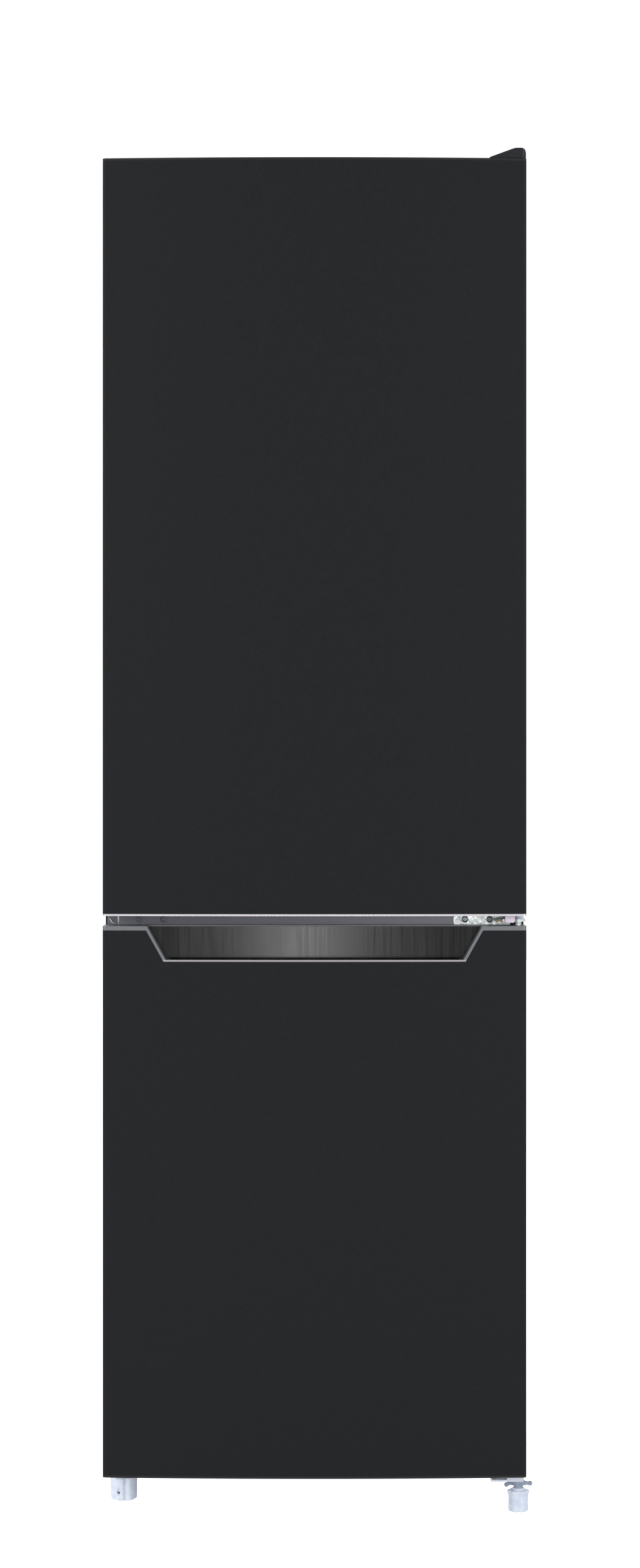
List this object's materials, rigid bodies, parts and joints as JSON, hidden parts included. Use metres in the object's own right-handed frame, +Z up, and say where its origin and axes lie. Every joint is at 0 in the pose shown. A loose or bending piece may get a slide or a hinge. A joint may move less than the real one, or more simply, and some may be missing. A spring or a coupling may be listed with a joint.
{
  "type": "bottom freezer refrigerator",
  "caption": "Tall slim free-standing refrigerator: fridge door above a freezer door, bowed dark steel fronts, trapezoid grip recess, levelling feet and rear wire condenser.",
  "frame": {"origin": "on the floor, in the middle of the overall width and depth (wing nut and wall spacers included)", "axes": "+Z up; -Y out of the doors' fronts, towards the user; +X to the hinge side, the right seen from the front"},
  "size_m": [0.5545, 0.6, 1.76],
  "materials": {
    "graphite_steel": "satin",
    "galvanised_steel": "satin",
    "insulating_foam": "matte",
    "white_liner": "gloss",
    "evaporator_aluminium": "satin",
    "grey_beam_steel": "satin",
    "silver_plastic": "satin",
    "black_plastic": "matte",
    "shelf_glass": "gloss",
    "clear_plastic": "gloss",
    "brushed_dark_metal": "satin",
    "white_nylon": "satin",
    "soft_gasket": "matte",
    "black_rubber": "matte",
    "roller_plastic": "matte",
    "black_enamel": "satin",
    "copper_line": "satin"
  },
  "bodies": {
    "cabinet": {"right_side_panel": "graphite_steel", "left_side_panel": "graphite_steel", "top_panel": "graphite_steel", "back_panel": "galvanised_steel", "bottom_pan": "galvanised_steel", "base_crossmember": "galvanised_steel", "rear_crossbar": "galvanised_steel", "roller_axles": "galvanised_steel", "cabinet_foam": "insulating_foam", "fridge_liner": "white_liner", "freezer_liner": "white_liner", "evaporator_plate": "evaporator_aluminium", "middle_beam": "grey_beam_steel", "beam_cover": "grey_beam_steel", "left_bracket": "silver_plastic", "middle_hinge": "galvanised_steel", "hinge_sleeve": "white_nylon", "top_hinge": "galvanised_steel", "top_hinge_cover": "black_plastic", "bottom_hinge": "galvanised_steel", "fasteners": "galvanised_steel", "glass_shelves": "shelf_glass", "shelf_trims": "silver_plastic", "crisper_drawer": "clear_plastic", "freezer_drawers": "clear_plastic", "freezer_shelves": "shelf_glass", "control_housing": "white_liner", "lamp_cover": "clear_plastic", "compressor": "black_enamel", "compressor_grommets": "black_rubber", "terminal_box": "black_plastic", "evaporation_pan": "white_nylon", "condenser_coil": "black_enamel", "condenser_wires": "black_enamel", "rear_spacers": "black_plastic", "refrigerant_lines": "copper_line"},
    "upper_door": {"upper_door_skin": "graphite_steel", "upper_door_foam": "insulating_foam", "upper_door_liner": "white_liner", "upper_door_gasket": "soft_gasket", "upper_door_bottom_cap": "silver_plastic", "upper_door_top_cap": "black_plastic", "upper_door_bushes": "white_nylon", "door_stop": "white_nylon", "door_bins": "clear_plastic", "egg_tray": "clear_plastic"},
    "lower_door": {"lower_door_skin": "graphite_steel", "lower_door_foam": "insulating_foam", "lower_door_liner": "white_liner", "lower_door_gasket": "soft_gasket", "lower_door_bottom_cap": "black_plastic", "grip_moulding": "silver_plastic", "grip_plate": "brushed_dark_metal", "lower_door_bushes": "white_nylon"},
    "left_foot": {"left_foot": "white_nylon"},
    "right_foot": {"right_foot": "white_nylon"},
    "wing_nut": {"wing_nut": "white_nylon"},
    "left_roller": {"left_roller": "roller_plastic"},
    "right_roller": {"right_roller": "roller_plastic"},
    "thermostat_knob": {"thermostat_knob": "white_nylon"}
  },
  "joints": [
    {"name": "upper_door_hinge", "type": "hinge", "parent": "cabinet", "child": "upper_door", "pos_m": [0.2635, -0.265, 1.258], "axis": [0, 0, 1], "range_deg": [0, 125]},
    {"name": "lower_door_hinge", "type": "hinge", "parent": "cabinet", "child": "lower_door", "pos_m": [0.2635, -0.265, 0.4035], "axis": [0, 0, 1], "range_deg": [0, 125]},
    {"name": "left_foot_screw", "type": "hinge", "parent": "cabinet", "child": "left_foot", "pos_m": [-0.251, -0.197, 0.03], "axis": [0, 0, 1], "continuous": true},
    {"name": "right_foot_screw", "type": "hinge", "parent": "cabinet", "child": "right_foot", "pos_m": [0.2635, -0.265, 0.03], "axis": [0, 0, 1], "continuous": true},
    {"name": "wing_nut_screw", "type": "hinge", "parent": "right_foot", "child": "wing_nut", "pos_m": [0.2635, -0.265, 0.0367], "axis": [0, 0, 1], "continuous": true},
    {"name": "left_roller_spin", "type": "hinge", "parent": "cabinet", "child": "left_roller", "pos_m": [-0.236, 0.22, 0.02], "axis": [1, 0, 0], "continuous": true},
    {"name": "right_roller_spin", "type": "hinge", "parent": "cabinet", "child": "right_roller", "pos_m": [0.236, 0.22, 0.02], "axis": [1, 0, 0], "continuous": true},
    {"name": "thermostat_knob_turn", "type": "hinge", "parent": "cabinet", "child": "thermostat_knob", "pos_m": [0.199, 0.027, 1.59], "axis": [-1, 0, 0], "range_deg": [0, 280]}
  ]
}
